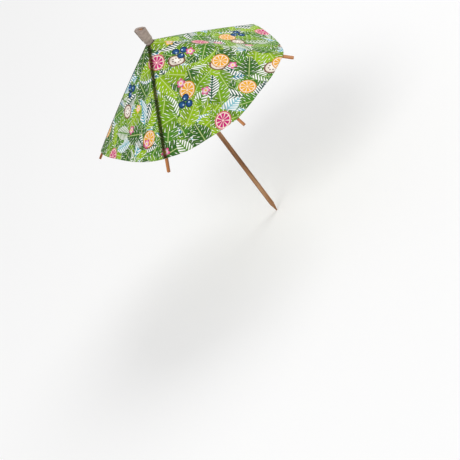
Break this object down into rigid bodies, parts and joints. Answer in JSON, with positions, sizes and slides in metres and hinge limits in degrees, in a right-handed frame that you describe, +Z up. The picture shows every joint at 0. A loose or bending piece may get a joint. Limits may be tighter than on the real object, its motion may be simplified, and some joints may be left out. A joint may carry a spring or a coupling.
{
  "type": "cocktail umbrella pick",
  "caption": "Small folding paper parasol on hinged wooden ribs and a pointed wooden pick, used to garnish a drink; a runner slides along the pick to open and close the canopy",
  "frame": {"origin": "on the pick's axis where the round shank meets its sharpened point", "axes": "Z up along the pick towards the finial; X and Y across the canopy"},
  "size_m": [0.0865, 0.0935, 0.1],
  "materials": {
    "pick_wood": "satin",
    "rib_wood": "satin",
    "print_paper": "matte",
    "finial_paper": "matte",
    "sleeve_paper": "matte",
    "stretcher_card": "matte",
    "hub_wood": "satin",
    "ring_plastic": "satin",
    "thread_cotton": "matte"
  },
  "bodies": {
    "pick": {"pick": "pick_wood", "finial_roll": "finial_paper", "rib_hub": "hub_wood", "hub_thread": "thread_cotton"},
    "runner": {"runner_sleeve": "sleeve_paper", "runner_collar": "hub_wood"},
    "ring": {"retaining_ring": "ring_plastic"},
    "rib_1": {"rib_1": "rib_wood", "panel_1_before": "print_paper", "panel_1_after": "print_paper"},
    "stretcher_1": {"stretcher_1": "stretcher_card"},
    "rib_2": {"rib_2": "rib_wood", "panel_2_before": "print_paper", "panel_2_after": "print_paper"},
    "stretcher_2": {"stretcher_2": "stretcher_card"},
    "rib_3": {"rib_3": "rib_wood", "panel_3_before": "print_paper", "panel_3_after": "print_paper"},
    "stretcher_3": {"stretcher_3": "stretcher_card"},
    "rib_4": {"rib_4": "rib_wood", "panel_4_before": "print_paper", "panel_4_after": "print_paper"},
    "stretcher_4": {"stretcher_4": "stretcher_card"},
    "rib_5": {"rib_5": "rib_wood", "panel_5_before": "print_paper", "panel_5_after": "print_paper"},
    "stretcher_5": {"stretcher_5": "stretcher_card"},
    "rib_6": {"rib_6": "rib_wood", "panel_6_before": "print_paper", "panel_6_after": "print_paper"},
    "stretcher_6": {"stretcher_6": "stretcher_card"},
    "rib_7": {"rib_7": "rib_wood", "panel_7_before": "print_paper", "panel_7_after": "print_paper"},
    "stretcher_7": {"stretcher_7": "stretcher_card"}
  },
  "joints": [
    {"name": "rib_1_fold", "type": "hinge", "parent": "pick", "child": "rib_1", "pos_m": [-0.00264, 0.00093, 0.08736], "axis": [-0.3335, -0.9428, 0], "range_deg": [0, 49], "deforming": ["panel_1_before", "panel_1_after"]},
    {"name": "rib_2_fold", "type": "hinge", "parent": "pick", "child": "rib_2", "pos_m": [-0.00145, -0.0024, 0.08736], "axis": [0.856, -0.517, 0], "range_deg": [0, 49], "deforming": ["panel_2_before", "panel_2_after"]},
    {"name": "rib_3_fold", "type": "hinge", "parent": "pick", "child": "rib_3", "pos_m": [0.00048, -0.00276, 0.08736], "axis": [0.9851, 0.1719, 0], "range_deg": [0, 49], "deforming": ["panel_3_before", "panel_3_after"]},
    {"name": "rib_4_fold", "type": "hinge", "parent": "pick", "child": "rib_4", "pos_m": [0.00232, -0.00157, 0.08736], "axis": [0.5598, 0.8286, 0], "range_deg": [0, 49], "deforming": ["panel_4_before", "panel_4_after"]},
    {"name": "rib_5_fold", "type": "hinge", "parent": "pick", "child": "rib_5", "pos_m": [0.00254, 0.00119, 0.08736], "axis": [-0.4234, 0.9059, 0], "range_deg": [0, 49], "deforming": ["panel_5_before", "panel_5_after"]},
    {"name": "rib_6_fold", "type": "hinge", "parent": "pick", "child": "rib_6", "pos_m": [0.00095, 0.00263, 0.08736], "axis": [-0.9409, 0.3386, 0], "range_deg": [0, 49], "deforming": ["panel_6_before", "panel_6_after"]},
    {"name": "rib_7_fold", "type": "hinge", "parent": "pick", "child": "rib_7", "pos_m": [-0.0012, 0.00253, 0.08736], "axis": [-0.9036, -0.4285, 0], "range_deg": [0, 49], "deforming": ["panel_7_before", "panel_7_after"]},
    {"name": "stretcher_1_hinge", "type": "hinge", "parent": "rib_1", "child": "stretcher_1", "pos_m": [-0.01978, 0.007, 0.07501], "axis": [-0.3335, -0.9428, 0], "range_deg": [-98, 0]},
    {"name": "stretcher_2_hinge", "type": "hinge", "parent": "rib_2", "child": "stretcher_2", "pos_m": [-0.01084, -0.01796, 0.07501], "axis": [0.856, -0.517, 0], "range_deg": [-98, 0]},
    {"name": "stretcher_3_hinge", "type": "hinge", "parent": "rib_3", "child": "stretcher_3", "pos_m": [0.00361, -0.02066, 0.07501], "axis": [0.9851, 0.1719, 0], "range_deg": [-98, 0]},
    {"name": "stretcher_4_hinge", "type": "hinge", "parent": "rib_4", "child": "stretcher_4", "pos_m": [0.01738, -0.01174, 0.07501], "axis": [0.5598, 0.8286, 0], "range_deg": [-98, 0]},
    {"name": "stretcher_5_hinge", "type": "hinge", "parent": "rib_5", "child": "stretcher_5", "pos_m": [0.019, 0.00888, 0.07501], "axis": [-0.4234, 0.9059, 0], "range_deg": [-98, 0]},
    {"name": "stretcher_6_hinge", "type": "hinge", "parent": "rib_6", "child": "stretcher_6", "pos_m": [0.0071, 0.01974, 0.07501], "axis": [-0.9409, 0.3386, 0], "range_deg": [-98, 0]},
    {"name": "stretcher_7_hinge", "type": "hinge", "parent": "rib_7", "child": "stretcher_7", "pos_m": [-0.00899, 0.01895, 0.07501], "axis": [-0.9036, -0.4285, 0], "range_deg": [-98, 0]},
    {"name": "runner_slide", "type": "slide", "parent": "pick", "child": "runner", "axis": [0, 0, -1], "range_m": [0, 0.01894]},
    {"name": "ring_slide", "type": "slide", "parent": "runner", "child": "ring", "axis": [0, 0, -1], "range_m": [0, 0.012]}
  ],
  "couplings": [
    {"joint": "rib_2_fold", "follows": "rib_1_fold", "ratio": 1},
    {"joint": "rib_3_fold", "follows": "rib_1_fold", "ratio": 1},
    {"joint": "rib_4_fold", "follows": "rib_1_fold", "ratio": 1},
    {"joint": "rib_5_fold", "follows": "rib_1_fold", "ratio": 1},
    {"joint": "rib_6_fold", "follows": "rib_1_fold", "ratio": 1},
    {"joint": "rib_7_fold", "follows": "rib_1_fold", "ratio": 1},
    {"joint": "stretcher_1_hinge", "follows": "rib_1_fold", "ratio": -2},
    {"joint": "stretcher_2_hinge", "follows": "rib_1_fold", "ratio": -2},
    {"joint": "stretcher_3_hinge", "follows": "rib_1_fold", "ratio": -2},
    {"joint": "stretcher_4_hinge", "follows": "rib_1_fold", "ratio": -2},
    {"joint": "stretcher_5_hinge", "follows": "rib_1_fold", "ratio": -2},
    {"joint": "stretcher_6_hinge", "follows": "rib_1_fold", "ratio": -2},
    {"joint": "stretcher_7_hinge", "follows": "rib_1_fold", "ratio": -2},
    {"joint": "runner_slide", "follows": "rib_1_fold", "m_per_rad": 0.022146}
  ]
}
